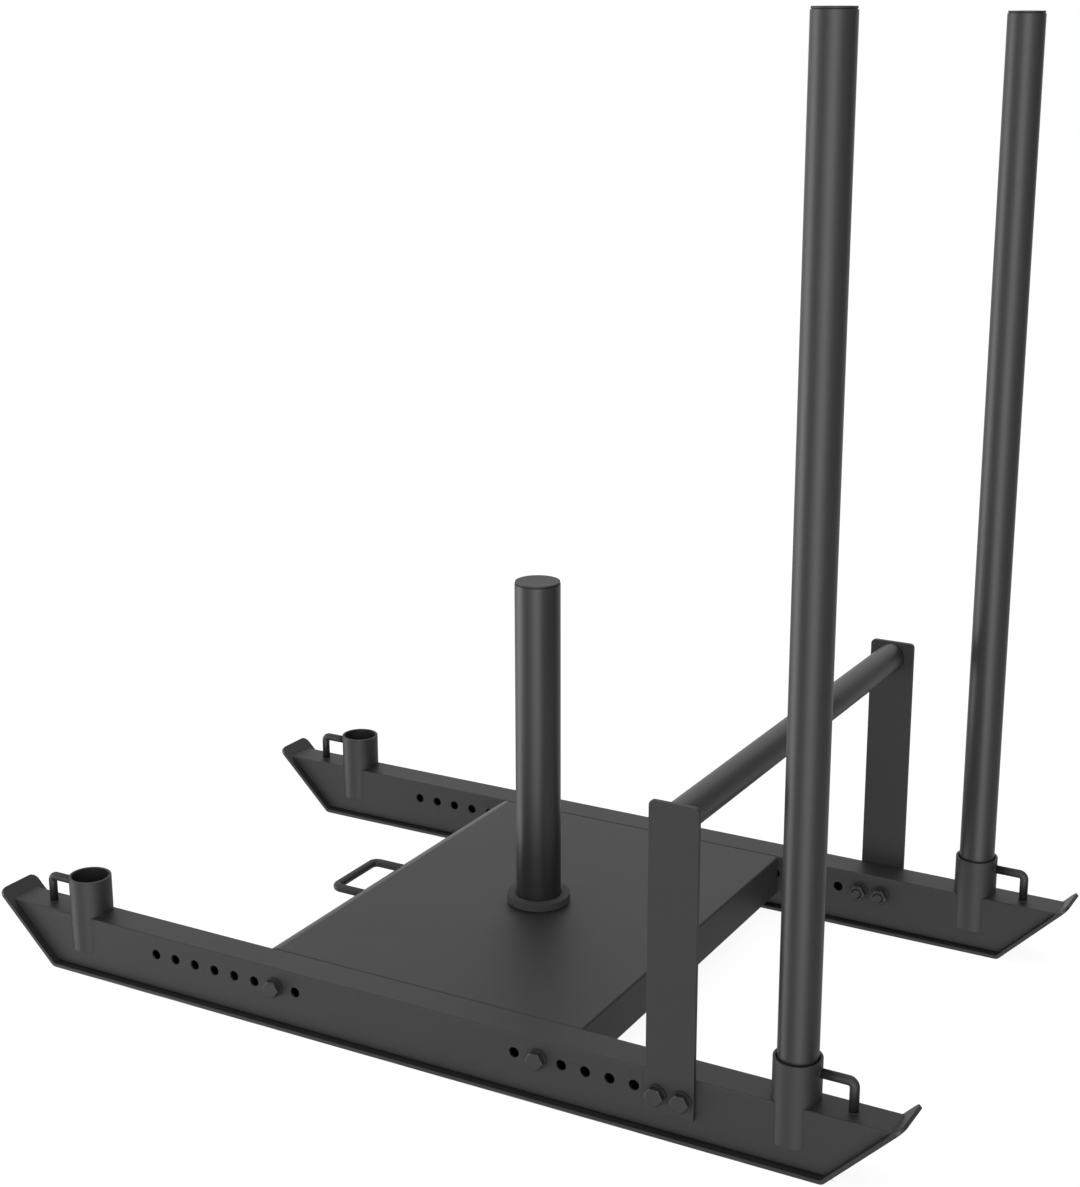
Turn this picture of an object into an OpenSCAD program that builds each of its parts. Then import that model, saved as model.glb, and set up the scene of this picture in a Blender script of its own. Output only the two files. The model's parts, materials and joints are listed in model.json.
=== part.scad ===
// Push sled: two kicked-up runners, a bolted deck with a weight post and a tow loop,
// a low cross handle on two flat uprights, and two push poles that drop into round sockets.
// Origin on the floor under the middle of the sled. +X runs along the runners to the rear,
// where the pusher stands, +Y is the pusher's right, +Z is up. The tow loop is at the front, -X.

/* [Runners] */
// Distance between the centre lines of the two runners
runner_spacing = 527; // [460:1:600]
// Width of the box beam of a runner
beam_w = 38; // [34:1:43]
// Height of the box beam
beam_h = 62; // [56:1:74]
// Wall of the box beam
beam_wall = 3; // [2:0.5:4]
// Outer corner radius of the box beam
beam_corner_r = 4.5; // [4.2:0.1:6]
// Thickness of the skid plate under a beam
skid_t = 4; // [3:0.5:6]
// How far the skid plate stands out past each side of the beam
skid_ledge = 8.5; // [5:0.5:14]
// Flat length of the sole between the two kick-up corners
sole_len = 920; // [880:5:1100]
// Angle of the kicked-up ends to the floor
kick_angle = 45; // [38:1:52]
// Inside bend radius of the skid plate
skid_bend_r = 4; // [3:0.5:8]
// How far the tip of the skid rises above the top of the beam
lip_rise = 9; // [5:1:16]
// Radius of the two corners of each tip
lip_corner_r = 9; // [4:1:14]

/* [Sockets and strap loops] */
// Distance of a socket's axis from the kick-up corner of the sole
socket_inset = 38; // [34:1:44]
// Wall of a socket tube
socket_wall = 2; // [1.5:0.5:3]
// Height of a socket above the top of the beam
socket_stand = 42; // [36:1:60]
// Depth of a socket below the top of the beam
socket_sink = 42; // [34:1:46]
// Diameter of the rod of a strap loop
loop_rod_d = 8; // [6:0.5:9]
// Distance from the socket's axis to the loop's upright leg
loop_reach = 55; // [48:1:62]
// Distance of the loop's level rod below the socket's mouth
loop_drop = 11; // [8:1:14]
// Bend radius of the loop, to the middle of the rod
loop_bend_r = 6; // [5.5:0.5:9]

/* [Hole rows] */
// Number of holes in a row
hole_count = 8; // [7:1:8]
// Distance between two holes
hole_pitch = 26.4; // [25:0.1:27]
// Distance of the innermost hole from the middle of the sled
hole_first = 132; // [126:1:136]
// Depth of the hole line below the top of the beam
hole_drop = 22; // [19:1:25]

/* [Deck] */
// Length of the deck along the runners
deck_len = 376; // [330:1:400]
// Thickness of the deck sheet
deck_t = 4; // [3:0.5:5]
// Inside bend radius of the deck's folds
deck_bend_r = 2; // [1.5:0.5:4]
// Depth of the deck's folded edges, below the deck's top
deck_flange_h = 46; // [38:1:52]
// Slot between the ends of the side folds and the front and rear folds
deck_relief = 3; // [2:0.5:6]
// Least distance from a deck bolt's axis to the end of its side fold
deck_hole_edge = 14; // [12:1:20]

/* [Tow loop] */
// Diameter of the rod of the tow loop
tow_rod_d = 8; // [7:0.5:12]
// Distance from the deck's front face to the middle of the loop's bar
tow_reach = 60; // [40:1:80]
// Distance between the middles of the loop's two legs
tow_width = 83; // [60:1:120]
// Depth of the loop's middle below the deck's top
tow_drop = 21.5; // [16:0.5:28]
// Bend radius of the tow loop, to the middle of the rod
tow_bend_r = 8; // [7:0.5:14]

/* [Weight post] */
// Outer diameter of the weight post
post_od = 50; // [48:0.5:51]
// Wall of the weight post
post_wall = 3; // [2:0.5:4]
// Height of the weight post's tube above the deck
post_height = 370; // [250:1:450]
// Diameter of the round foot that carries the post
post_foot_d = 67; // [60:1:80]
// Height of the post's foot above the deck
post_foot_h = 10; // [6:1:16]

/* [Handle frame] */
// Width of an upright's flat bar
upright_w = 45; // [42:1:50]
// Thickness of an upright's flat bar
upright_t = 5; // [4:0.5:8]
// Height of an upright above the top of the beam
upright_rise = 273; // [200:1:360]
// Length of an upright below the hole line
upright_tail = 18.5; // [14:0.5:24]
// Radius of the upper corners of an upright
upright_corner_r = 5; // [2:0.5:10]
// Outer diameter of the cross handle
handle_od = 32; // [28:0.5:36]
// Wall of the cross handle
handle_wall = 2; // [1.5:0.5:3]
// Distance of the cross handle's axis below the top of the uprights
handle_drop = 17.5; // [16:0.5:30]

/* [Push poles] */
// Outer diameter of a push pole
pole_od = 39; // [36:0.5:41]
// Wall of a push pole
pole_wall = 2; // [1.5:0.5:3]
// Length of a push pole's tube
pole_len = 1000; // [700:5:1200]
// Radial gap between a pole and its socket
pole_gap = 1; // [0.5:0.1:1.5]

/* [End caps] */
// Thickness of the round face of an end cap
cap_t = 2.5; // [1.5:0.5:4]
// How far the cap's face stays inside the tube's outer diameter
cap_inset = 0.6; // [0.3:0.1:1.5]
// Chamfer round the cap's face
cap_chamfer = 1; // [0.4:0.1:1.2]
// Length of the cap's plug inside the tube
cap_plug_len = 18; // [12:1:30]
// Wall of the cap's plug
cap_plug_wall = 2; // [1.5:0.5:3]
// Gap between the plug and the tube's bore, bridged by the fins
cap_gap = 1; // [0.6:0.1:1.5]
// Gap between the fins and the tube's bore
fin_gap = 0.1; // [0.05:0.05:0.3]
// Thickness of a fin
fin_t = 1.2; // [0.8:0.1:2]
// Number of fins round a plug
fin_count = 3; // [2:1:3]

/* [Fasteners] */
// Diameter of the bolts
bolt_d = 10; // [8:1:12]
// Extra diameter of a bolt hole over the bolt
bolt_clearance = 1; // [0.5:0.1:1.5]
// Width across the flats of bolt heads and nuts
hex_af = 17; // [15:1:19]
// Height of a bolt head
bolt_head_h = 6.4; // [5:0.1:8]
// Height of a nut
nut_h = 8; // [6:0.5:10]
// Radial gap between a bolt and its nut or washer
bolt_fit = 0.1; // [0.05:0.05:0.3]
// Outer diameter of a washer
washer_od = 21; // [20:0.5:24]
// Thickness of a washer
washer_t = 2; // [1.5:0.5:3]
// Length of bolt that shows past its nut
bolt_proud = 4; // [2:0.5:6]

/* [Hidden] */
$fn = 64;

left = -1;
right = 1;
front = -1;
rear = 1;
sides = [left, right];
ends = [front, rear];

coat = [0.20, 0.20, 0.21];
pole_coat = [0.17, 0.17, 0.18];
fastener_black = [0.12, 0.12, 0.13];
cap_plastic = [0.08, 0.08, 0.08];

// A cutting solid reaches this far past the faces that it opens
over = 1;

runner_y = runner_spacing / 2;
runner_top = skid_t + beam_h;
beam_outer_y = runner_y + beam_w / 2;
beam_inner_y = runner_y - beam_w / 2;

half_sole = sole_len / 2;
skid_w = beam_w + 2 * skid_ledge;
bend_out_r = skid_bend_r + skid_t;
// Where the sole ends and its upward bend starts
bend_x = half_sole - bend_out_r * tan(kick_angle / 2);
// Length of the straight kick from its bend to its tip
kick_len = (runner_top + lip_rise - bend_out_r * (1 - cos(kick_angle))) / sin(kick_angle);
// A point of the rear kick, this deep in from its outer face and this far along from its bend
function kick_point(depth, along) = [
    bend_x + (bend_out_r - depth) * sin(kick_angle) + along * cos(kick_angle),
    bend_out_r - (bend_out_r - depth) * cos(kick_angle) + along * sin(kick_angle)
];
// How far along the kick the beam's top meets it
beam_top_along = (runner_top - kick_point(skid_t, 0)[1]) / sin(kick_angle);
beam_top_x = kick_point(skid_t, beam_top_along)[0];
// An outline from points at the rear end, repeated in reverse at the front end
function both_ends(points) = concat(
    points,
    [for (i = [len(points) - 1 : -1 : 0]) [-points[i][0], points[i][1]]]
);

socket_x = half_sole - socket_inset;
socket_bore = pole_od + 2 * pole_gap;
socket_od = socket_bore + 2 * socket_wall;
socket_foot = runner_top - socket_sink;
socket_len = socket_sink + socket_stand;
loop_rise = socket_stand - loop_drop;

hole_d = bolt_d + bolt_clearance;
hole_z = runner_top - hole_drop;
function hole_x(i) = hole_first + i * hole_pitch;
// The handle frame uses the last two holes of the rear rows
handle_bolt_xs = [hole_x(hole_count - 2), hole_x(hole_count - 1)];
upright_x = (handle_bolt_xs[0] + handle_bolt_xs[1]) / 2;

deck_w = 2 * beam_inner_y;
deck_bottom = runner_top - deck_flange_h;
deck_front_x = -deck_len / 2;
deck_out_r = deck_bend_r + deck_t;
side_fold_end = deck_len / 2 - deck_t - deck_relief;
// The deck is bolted through the last hole of each row that its side folds reach
deck_bolt_x = hole_x(floor((side_fold_end - deck_hole_edge - hole_first) / hole_pitch));

upright_top = runner_top + upright_rise;
handle_z = upright_top - handle_drop;
handle_len = 2 * beam_outer_y;

post_seat_z = runner_top + post_foot_h;
post_tube_top = runner_top + post_height;

pole_bottom = socket_foot + cap_t;
pole_top = pole_bottom + pole_len;

// Children are drawn on the right side, and mirrored for the left
module on_side(side) {
    mirror([0, side == left ? 1 : 0, 0])
        children();
}

// Children are drawn at the rear end, and mirrored for the front
module at_end(end) {
    mirror([end == front ? 1 : 0, 0, 0])
        children();
}

// Turns a profile drawn as Y and Z into a bar along X
module bar_along_x(len) {
    rotate([90, 0, 90])
        linear_extrude(height = len, center = true)
            children();
}

// Turns a profile drawn as X and Z into a bar along Y
module bar_along_y(len) {
    rotate([90, 0, 0])
        linear_extrude(height = len, center = true)
            children();
}

// A rectangle about the origin with four round corners
module round_rect(w, h, r) {
    square([w - 2 * r, h], center = true);
    square([w, h - 2 * r], center = true);
    for (x = [-1, 1], y = [-1, 1])
        translate([x * (w / 2 - r), y * (h / 2 - r)])
            circle(r);
}

// A rectangle that stands on the X axis with its two upper corners round
module round_top(w, h, r) {
    translate([-w / 2, 0])
        square([w, h - r]);
    translate([-w / 2 + r, 0])
        square([w - 2 * r, h]);
    for (x = [-1, 1])
        translate([x * (w / 2 - r), h - r])
            circle(r);
}

module tube(od, wall, len) {
    difference() {
        cylinder(h = len, d = od);
        translate([0, 0, -over])
            cylinder(h = len + 2 * over, d = od - 2 * wall);
    }
}

// A quarter or smaller bend of round rod about the Z axis, starting on the X axis
module rod_bend(rod_d, bend_r, angle) {
    rotate_extrude(angle = angle)
        translate([bend_r, 0])
            circle(d = rod_d);
}

// Side view of the beam, mitred at both ends to lie inside the bent skid
module beam_side_view() {
    polygon(both_ends([
        [bend_x, skid_t], kick_point(skid_t, 0), kick_point(skid_t, beam_top_along)
    ]));
}

// The holes for a row of bolts through both walls of a beam at the origin
module hole_row() {
    for (end = ends, i = [0 : hole_count - 1])
        translate([end * hole_x(i), 0, hole_z])
            rotate([90, 0, 0])
                cylinder(h = beam_w + 2 * over, d = hole_d, center = true);
}

// Box beam: mitred, drilled, and bored from above for the two sockets, which are wider
// than the beam and so break out through both of its side walls
module beam() {
    beam_z = skid_t + beam_h / 2;
    difference() {
        intersection() {
            translate([0, 0, beam_z])
                bar_along_x(2 * beam_top_x + over)
                    round_rect(beam_w, beam_h, beam_corner_r);
            bar_along_y(beam_w + over)
                beam_side_view();
        }
        translate([0, 0, beam_z])
            bar_along_x(2 * beam_top_x + 2 * over)
                round_rect(beam_w - 2 * beam_wall, beam_h - 2 * beam_wall, beam_corner_r - beam_wall);
        hole_row();
        for (end = ends)
            translate([end * socket_x, 0, socket_foot])
                cylinder(h = socket_sink + over, d = socket_od);
    }
}

// Side view of all that lies this deep inside the skid's outer face, up to its two tips
module skid_side_view(depth, tip) {
    polygon(both_ends(concat([[bend_x, depth], kick_point(depth, 0)], tip)));
    for (end = ends)
        translate([end * bend_x, bend_out_r])
            circle(bend_out_r - depth);
}

// Skid plate: one bent strip, flat under the beam and kicked up over both of its ends
module skid() {
    difference() {
        bar_along_y(skid_w)
            skid_side_view(0, [kick_point(0, kick_len), kick_point(skid_t, kick_len)]);
        bar_along_y(skid_w + 2 * over)
            skid_side_view(skid_t, [kick_point(skid_t, kick_len + over)]);
        for (end = ends, side = sides)
            at_end(end)
                on_side(side)
                    translate([bend_x, 0, bend_out_r])
                        rotate([0, -kick_angle, 0])
                            translate([kick_len - lip_corner_r, skid_w / 2 - lip_corner_r, -bend_out_r - over])
                                lip_corner_cut();
    }
}

// What a round corner of a tip takes off the square plate, past the corner's own centre
module lip_corner_cut() {
    linear_extrude(height = skid_t + 2 * over)
        difference() {
            square(lip_corner_r + over);
            circle(lip_corner_r);
        }
}

module socket() {
    translate([socket_x, 0, socket_foot])
        tube(socket_od, socket_wall, socket_len);
}

// Strap loop: a rod coped to the socket, bent down to stand on the beam's top
module strap_loop() {
    bend_start = loop_reach - loop_bend_r;
    translate([socket_x, 0, runner_top])
        difference() {
            union() {
                translate([0, 0, loop_rise])
                    rotate([0, 90, 0])
                        cylinder(h = bend_start, d = loop_rod_d);
                translate([bend_start, 0, loop_rise - loop_bend_r])
                    rotate([90, 0, 0])
                        rod_bend(loop_rod_d, loop_bend_r, 90);
                translate([loop_reach, 0, 0])
                    cylinder(h = loop_rise - loop_bend_r, d = loop_rod_d);
            }
            cylinder(h = socket_stand, d = socket_od);
        }
}

// The space that a folded deck fills, or with inset the space inside its sheet
module deck_block(inset) {
    r = deck_out_r - inset;
    h = deck_flange_h - inset;
    below = inset > 0 ? over : 0;
    translate([0, 0, deck_bottom - below])
        intersection() {
            bar_along_y(deck_w)
                round_top(deck_len - 2 * inset, h + below, r);
            bar_along_x(deck_len)
                round_top(deck_w - 2 * inset, h + below, r);
        }
}

// Deck: a sheet with its four edges folded down, bolted through its side folds, and cut
// out for the post's foot
module deck_plate_solid() {
    slot_h = deck_flange_h - deck_out_r;
    difference() {
        deck_block(0);
        deck_block(deck_t);
        for (side = sides, end = ends)
            on_side(side)
                at_end(end) {
                    translate([side_fold_end, deck_w / 2 - deck_out_r, deck_bottom - over])
                        cube([deck_relief, deck_out_r + over, slot_h + over]);
                    translate([deck_bolt_x, deck_w / 2, hole_z])
                        rotate([90, 0, 0])
                            cylinder(h = 4 * deck_t, d = hole_d, center = true);
                }
        translate([0, 0, runner_top - deck_t - over])
            cylinder(h = deck_t + 2 * over, d = post_foot_d);
    }
}

// Tow loop: a rod bent to a U, its two legs welded to the deck's front fold
module tow_loop_solid() {
    leg = tow_reach - tow_bend_r;
    half_bar = tow_width / 2 - tow_bend_r;
    translate([deck_front_x, 0, runner_top - tow_drop]) {
        rotate([90, 0, 0])
            translate([-tow_reach, 0, 0])
                cylinder(h = 2 * half_bar, d = tow_rod_d, center = true);
        for (side = sides)
            on_side(side) {
                translate([0, tow_width / 2, 0])
                    rotate([0, -90, 0])
                        cylinder(h = leg, d = tow_rod_d);
                translate([-leg, half_bar, 0])
                    rotate([0, 0, 90])
                        rod_bend(tow_rod_d, tow_bend_r, 90);
            }
    }
}

// An end cap: a chamfered face on the tube's end, with a hollow finned plug in the tube
module end_cap(tube_od, tube_wall) {
    face_r = tube_od / 2 - cap_inset;
    bore_r = tube_od / 2 - tube_wall;
    plug_r = bore_r - cap_gap;
    fin_pitch = cap_plug_len / (fin_count + 1);
    rotate_extrude()
        polygon([
            [0, cap_t], [face_r - cap_chamfer, cap_t], [face_r, cap_t - cap_chamfer], [face_r, 0],
            [plug_r, 0], [plug_r, -cap_plug_len], [plug_r - cap_plug_wall, -cap_plug_len],
            [plug_r - cap_plug_wall, 0], [0, 0]
        ]);
    for (i = [1 : fin_count])
        translate([0, 0, -i * fin_pitch - fin_t / 2])
            tube(2 * (bore_r - fin_gap), cap_gap - fin_gap + cap_plug_wall / 2, fin_t);
}

// An upright: a flat bar on the outer face of the beam, with its bolt holes
module upright() {
    foot = hole_z - upright_tail;
    difference() {
        translate([upright_x, beam_outer_y + upright_t / 2, foot])
            bar_along_y(upright_t)
                round_top(upright_w, upright_top - foot, upright_corner_r);
        for (x = handle_bolt_xs)
            translate([x, beam_outer_y + upright_t / 2, hole_z])
                rotate([90, 0, 0])
                    cylinder(h = upright_t + 2 * over, d = hole_d, center = true);
    }
}

module pole() {
    translate([socket_x, runner_y, pole_bottom])
        tube(pole_od, pole_wall, pole_len);
}

module pole_cap() {
    translate([socket_x, runner_y, pole_top])
        end_cap(pole_od, pole_wall);
}

module pole_foot() {
    translate([socket_x, runner_y, pole_bottom])
        mirror([0, 0, 1])
            end_cap(pole_od, pole_wall);
}

// Children are drawn with Z pointing inwards from a bolt's outer face, at every bolt of a joint
module at_bolts(xs, outer_y) {
    for (side = sides, x = xs)
        on_side(side)
            translate([x, outer_y, hole_z])
                rotate([90, 0, 0])
                    children();
}

module hex(h) {
    cylinder(h = h, d = hex_af / cos(30), $fn = 6);
}

// A hexagon-head bolt that clamps what lies between its two washers
module bolt(grip) {
    translate([0, 0, -washer_t - bolt_head_h])
        hex(bolt_head_h);
    translate([0, 0, -washer_t])
        cylinder(h = washer_t + grip + washer_t + nut_h + bolt_proud, d = bolt_d);
}

module washer() {
    tube(washer_od, washer_od / 2 - bolt_d / 2 - bolt_fit, washer_t);
}

// The two washers of a bolt, under its head and under its nut
module washer_pair(grip) {
    translate([0, 0, -washer_t])
        washer();
    translate([0, 0, grip])
        washer();
}

module nut(grip) {
    translate([0, 0, grip + washer_t])
        difference() {
            hex(nut_h);
            translate([0, 0, -over])
                cylinder(h = nut_h + 2 * over, d = bolt_d + 2 * bolt_fit);
        }
}

deck_bolt_xs = [-deck_bolt_x, deck_bolt_x];
deck_grip = beam_w + deck_t;
handle_outer_y = beam_outer_y + upright_t;
handle_grip = upright_t + beam_w;

module runner_part(side) {
    color(coat)
        on_side(side)
            translate([0, runner_y, 0])
                children();
}

module left_beam() {
    runner_part(left) beam();
}
module right_beam() {
    runner_part(right) beam();
}
module left_skid() {
    runner_part(left) skid();
}
module right_skid() {
    runner_part(right) skid();
}
module left_front_socket() {
    runner_part(left) at_end(front) socket();
}
module right_front_socket() {
    runner_part(right) at_end(front) socket();
}
module left_rear_socket() {
    runner_part(left) at_end(rear) socket();
}
module right_rear_socket() {
    runner_part(right) at_end(rear) socket();
}
module left_front_loop() {
    runner_part(left) at_end(front) strap_loop();
}
module right_front_loop() {
    runner_part(right) at_end(front) strap_loop();
}
module left_rear_loop() {
    runner_part(left) at_end(rear) strap_loop();
}
module right_rear_loop() {
    runner_part(right) at_end(rear) strap_loop();
}
module deck_plate() {
    color(coat) deck_plate_solid();
}
module tow_loop() {
    color(coat) tow_loop_solid();
}
module post_foot() {
    color(coat)
        translate([0, 0, runner_top - deck_t])
            cylinder(h = deck_t + post_foot_h, d = post_foot_d);
}
module weight_post() {
    color(coat)
        translate([0, 0, post_seat_z])
            tube(post_od, post_wall, post_tube_top - post_seat_z);
}
module post_cap() {
    color(cap_plastic)
        translate([0, 0, post_tube_top])
            end_cap(post_od, post_wall);
}
module left_upright() {
    color(coat) on_side(left) upright();
}
module right_upright() {
    color(coat) on_side(right) upright();
}
module cross_handle() {
    color(coat)
        translate([upright_x, handle_len / 2, handle_z])
            rotate([90, 0, 0])
                tube(handle_od, handle_wall, handle_len);
}
module left_pole() {
    color(pole_coat) on_side(left) pole();
}
module right_pole() {
    color(pole_coat) on_side(right) pole();
}
module left_pole_cap() {
    color(cap_plastic) on_side(left) pole_cap();
}
module right_pole_cap() {
    color(cap_plastic) on_side(right) pole_cap();
}
module left_pole_foot() {
    color(cap_plastic) on_side(left) pole_foot();
}
module right_pole_foot() {
    color(cap_plastic) on_side(right) pole_foot();
}
module deck_bolts() {
    color(fastener_black) at_bolts(deck_bolt_xs, beam_outer_y) bolt(deck_grip);
}
module deck_washers() {
    color(fastener_black) at_bolts(deck_bolt_xs, beam_outer_y) washer_pair(deck_grip);
}
module deck_nuts() {
    color(fastener_black) at_bolts(deck_bolt_xs, beam_outer_y) nut(deck_grip);
}
module handle_bolts() {
    color(fastener_black) at_bolts(handle_bolt_xs, handle_outer_y) bolt(handle_grip);
}
module handle_washers() {
    color(fastener_black) at_bolts(handle_bolt_xs, handle_outer_y) washer_pair(handle_grip);
}
module handle_nuts() {
    color(fastener_black) at_bolts(handle_bolt_xs, handle_outer_y) nut(handle_grip);
}

left_beam();
right_beam();
left_skid();
right_skid();
left_front_socket();
right_front_socket();
left_rear_socket();
right_rear_socket();
left_front_loop();
right_front_loop();
left_rear_loop();
right_rear_loop();
deck_plate();
tow_loop();
post_foot();
weight_post();
post_cap();
left_upright();
right_upright();
cross_handle();
left_pole();
right_pole();
left_pole_cap();
right_pole_cap();
left_pole_foot();
right_pole_foot();
deck_bolts();
deck_washers();
deck_nuts();
handle_bolts();
handle_washers();
handle_nuts();
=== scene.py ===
"""Push sled, dressed for rendering.

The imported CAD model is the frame, and every size and place comes from its nodes. Operators build
the coated steel, the welds, the fasteners, the moulded end caps and a plain studio round it.
+X is the rear of the sled, where the pusher stands, and +Z is up. Lengths are in metres.
"""

import json
from math import atan2, copysign, cos, hypot, pi, radians, sin, sqrt, tan

import bmesh
import bpy
from bpy.props import FloatProperty, FloatVectorProperty, IntProperty, PointerProperty
from mathutils import Matrix, Vector

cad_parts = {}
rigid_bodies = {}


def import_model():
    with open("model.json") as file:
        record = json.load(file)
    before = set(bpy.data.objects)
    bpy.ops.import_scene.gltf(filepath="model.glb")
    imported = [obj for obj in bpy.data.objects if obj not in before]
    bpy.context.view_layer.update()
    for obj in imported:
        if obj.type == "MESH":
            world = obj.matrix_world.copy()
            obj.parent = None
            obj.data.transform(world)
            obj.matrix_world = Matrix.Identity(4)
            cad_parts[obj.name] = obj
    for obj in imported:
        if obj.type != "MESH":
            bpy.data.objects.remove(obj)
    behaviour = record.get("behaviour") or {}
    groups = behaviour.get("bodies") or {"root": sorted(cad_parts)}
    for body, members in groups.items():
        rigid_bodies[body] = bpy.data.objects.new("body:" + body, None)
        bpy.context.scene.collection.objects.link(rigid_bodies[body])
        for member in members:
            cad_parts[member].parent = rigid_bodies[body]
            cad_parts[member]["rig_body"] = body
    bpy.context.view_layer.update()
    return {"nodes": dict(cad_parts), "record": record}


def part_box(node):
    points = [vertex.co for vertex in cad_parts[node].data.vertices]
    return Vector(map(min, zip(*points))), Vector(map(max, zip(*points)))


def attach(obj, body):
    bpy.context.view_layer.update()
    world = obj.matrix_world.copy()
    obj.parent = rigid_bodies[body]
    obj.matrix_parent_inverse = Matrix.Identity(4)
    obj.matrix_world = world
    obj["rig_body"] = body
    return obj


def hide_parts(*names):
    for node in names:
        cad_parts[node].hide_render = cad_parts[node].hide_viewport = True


bl_info = {
    "name": "Push Sled",
    "version": (1, 0, 0),
    "blender": (4, 5, 0),
    "location": "View3D > Sidebar > Sled",
    "description": "Builds a push sled's coated steel, fasteners and end caps in a plain studio",
    "category": "Object",
}

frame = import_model()

MM = 0.001
SIDES = {"left": -1, "right": 1}
ENDS = {"front": -1, "rear": 1}
CORNERS = [f"{side}_{end}" for side in SIDES for end in ENDS]

# The camera that took the photograph, solved from the sled's own edges
CAMERA_PLACE = (1.03623, -1.82189, 1.01227)
CAMERA_TILT = 15.60
CAMERA_TURN = 28.88
CAMERA_FOCUS = 2017.50
CAMERA_MIDDLE = (563.02, 591.09)
IMAGE_SIZE = (1080, 1187)

# The room's glows: azimuth and elevation in degrees, and tightness
GLOWS = {
    "left": (199.4, -8.7, 16.7),
    "near": (295.2, -6.3, 9.6),
    "dark": (38.6, 21.8, 8.9),
}
DARKEST = 0.22

# The frame's sizes that its boxes don't tell
CAD_BEAM_CORNER = 4.5 * MM
CAD_DECK_BEND = 6 * MM
CAD_SOCKET_BORE = 20.5 * MM

# How much further than in the frame these stand out
LOOP_REACH = 0.7 * MM
TOW_REACH = 2.5 * MM
DECK_REACH = 2.5 * MM
UPRIGHT_REACH = 2.8 * MM

# Points this close to a place lie on it, and rods and tubes end this deep in what they meet
NEAR = 0.02 * MM
SUNK = 1 * MM

# Where the coat's rubbed nose begins and ends, and the rubbed sole, and the depth of fine pits
NOSE_EDGE = 2.5 * MM
SOLE_EDGE = (1.2 * MM, 0.4 * MM)
PIT_DEPTH = 0.03 * MM

# The camera's sensor in millimetres, and the floor's reach and its two whites
SENSOR = 36
FLOOR_REACH = 14
FLOOR_PAINT = (0.60, 0.60, 0.60, 1)
FLOOR_WHITE = 1.15

# A cap's plug, its fins and the width of its flat rim
PLUG_GAP = 1 * MM
PLUG_WALL = 2 * MM
FIN_GAP = 0.1 * MM
FIN_THICKNESS = 1.2 * MM
CAP_RIM = 2.4 * MM

# The bevel of heads and nuts: its circle as a share of their width, and its slope
HEX_BEVEL = 0.47
HEX_SLOPE = tan(radians(30))

# A bolt's threaded end, its point, and the clearance and chamfer of a nut's bore
THREAD_LENGTH = 7 * MM
THREAD_STEPS = 30
BOLT_POINT = 1.1 * MM
NUT_CLEARANCE = 0.1 * MM
NUT_CHAMFER = 0.9 * MM


# Node trees

class Value:
    """An output of a node. Python's operators on it add Math nodes to its tree."""

    def __init__(self, nodes, socket):
        self.nodes = nodes
        self.socket = socket

    def output(self, name):
        """Another output of the same node."""
        return Value(self.nodes, self.socket.node.outputs[name])

    def _maths(self, operation, first, second):
        return self.nodes.add("ShaderNodeMath", {"operation": operation}, {0: first, 1: second})

    def __add__(self, other):
        return self._maths("ADD", self, other)

    def __sub__(self, other):
        return self._maths("SUBTRACT", self, other)

    def __mul__(self, other):
        return self._maths("MULTIPLY", self, other)

    def __truediv__(self, other):
        return self._maths("DIVIDE", self, other)

    def __radd__(self, other):
        return self._maths("ADD", other, self)

    def __rsub__(self, other):
        return self._maths("SUBTRACT", other, self)

    def __rmul__(self, other):
        return self._maths("MULTIPLY", other, self)


class Nodes:
    """A node tree under construction."""

    def __init__(self, tree):
        self.tree = tree
        tree.nodes.clear()

    def add(self, kind, settings=None, inputs=None, output=0):
        """Adds a node, makes its settings, then fills or links its inputs."""
        node = self.tree.nodes.new(kind)
        for name, value in (settings or {}).items():
            setattr(node, name, value)
        for name, value in (inputs or {}).items():
            if isinstance(value, Value):
                self.tree.links.new(value.socket, node.inputs[name])
            else:
                node.inputs[name].default_value = value
        return Value(self, node.outputs[output]) if node.outputs else node


class Shader(Nodes):
    """The node tree of a material or of the world."""

    def __init__(self, owner):
        owner.use_nodes = True
        super().__init__(owner.node_tree)

    def noise(self, place, per_metre, detail, distortion=0.0):
        """Soft noise from 0 to 1 with this many cells to the metre."""
        return self.add("ShaderNodeTexNoise", None, {
            "Vector": place, "Scale": per_metre, "Detail": detail, "Distortion": distortion,
        })

    def mix(self, share, first, second):
        """The first colour where share is 0 and the second where it is 1."""
        return self.add("ShaderNodeMix", {"data_type": "RGBA"}, {0: share, 6: first, 7: second}, 2)

    def spread(self, value, low, high):
        """Stretches value so that low becomes 0 and high becomes 1."""
        return self.add("ShaderNodeMapRange", {"clamp": True}, {0: value, 1: low, 2: high})

    def shades(self, share, colour, change):
        """A colour darkened by this much where share is 0 and lightened where it is 1."""
        return self.mix(share, shaded(colour, 1 - change), shaded(colour, 1 + change))

    def bump(self, height, depth):
        """The normal of a surface whose height from 0 to 1 spans this depth."""
        return self.add("ShaderNodeBump", None, {
            "Strength": 1.0, "Distance": depth, "Height": height,
        })

    def seen(self, straight, mirrored):
        """The first share for a ray from the camera, the second for one that a glossy or clear
        surface sends on, and 0 for the rest."""
        camera = self.add("ShaderNodeLightPath", output="Is Camera Ray")
        glossy = camera.output("Is Glossy Ray")
        clear = camera.output("Is Transmission Ray")
        sent_on = self.add("ShaderNodeMath", {"operation": "MAXIMUM"}, {0: glossy, 1: clear})
        return camera * straight + sent_on * mirrored


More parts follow.
